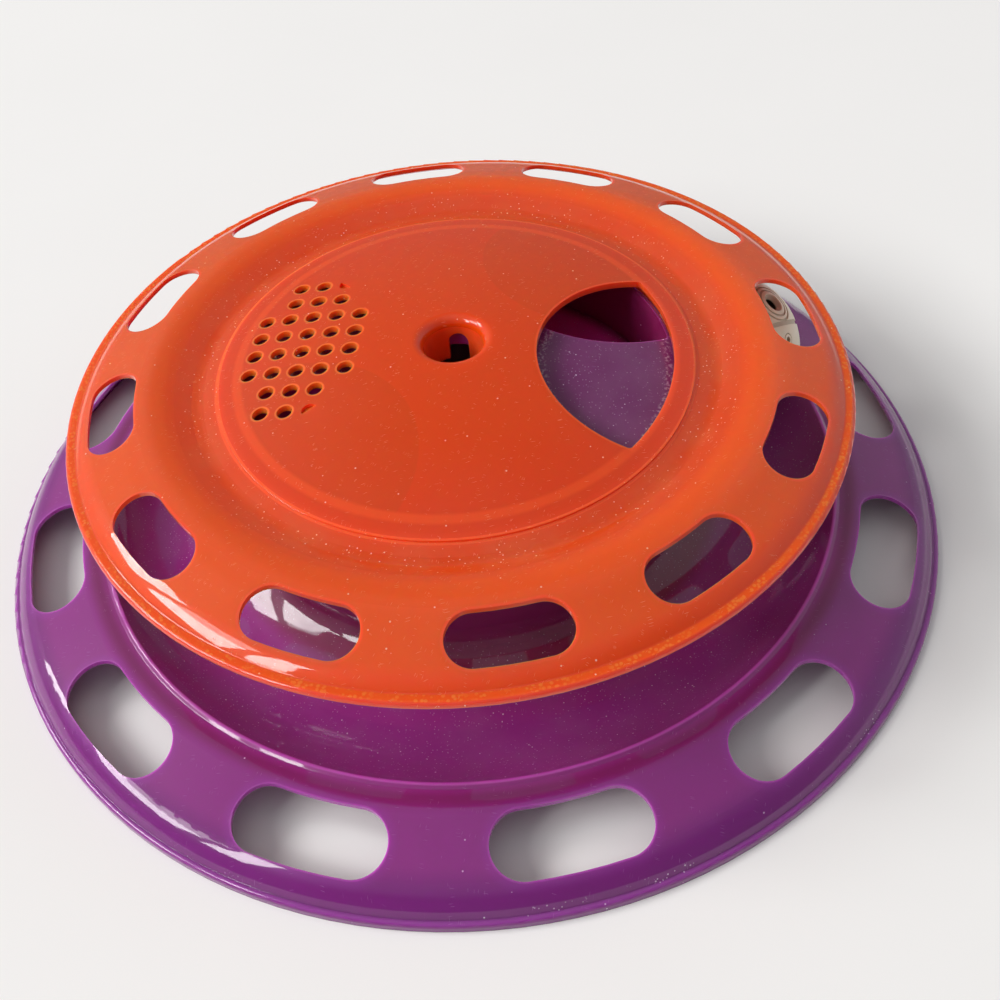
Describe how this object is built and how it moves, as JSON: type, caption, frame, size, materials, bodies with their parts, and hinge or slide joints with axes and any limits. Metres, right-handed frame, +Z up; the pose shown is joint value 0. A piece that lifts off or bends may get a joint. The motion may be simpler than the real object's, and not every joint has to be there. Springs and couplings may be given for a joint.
{
  "type": "cat activity center",
  "caption": "Round two-tier cat toy: a rattling ball runs in a windowed dish under a turning windowed cover with catnip cups, a filling opening and scent vents.",
  "frame": {"origin": "centre of the base on the surface it stands on", "axes": "+Z up along the drum's axis, +X through the middle of one cup"},
  "size_m": [0.285, 0.285, 0.0659],
  "materials": {
    "purple_plastic": "glossy, translucent, lightly scratched",
    "orange_plastic": "glossy, translucent, lightly scratched",
    "cream_plastic": "satin, opaque",
    "bell_plate": "bright plated sheet",
    "bell_steel": "plain steel"
  },
  "bodies": {
    "base": {"track_base": "purple_plastic"},
    "cover": {"top_cover": "orange_plastic"},
    "bell": {"bell_cap": "bell_plate", "bell_cup": "bell_plate", "bell_loop": "bell_steel", "bell_pea": "bell_steel"},
    "ball": {"ball_upper_half": "cream_plastic", "ball_lower_half": "cream_plastic"}
  },
  "joints": [
    {"name": "cover_spin", "type": "hinge", "parent": "base", "child": "cover", "pos_m": [0, 0, 0.058], "axis": [0, 0, 1], "continuous": true},
    {"name": "ball_orbit", "type": "hinge", "parent": "base", "child": "bell", "pos_m": [0, 0, 0.0281], "axis": [0, 0, 1], "continuous": true},
    {"name": "ball_roll", "type": "hinge", "parent": "bell", "child": "ball", "pos_m": [0.08332, -0.03099, 0.0281], "axis": [0.9373, -0.3486, 0], "continuous": true}
  ],
  "couplings": [
    {"joint": "ball_roll", "follows": "ball_orbit", "ratio": -3.8319}
  ]
}
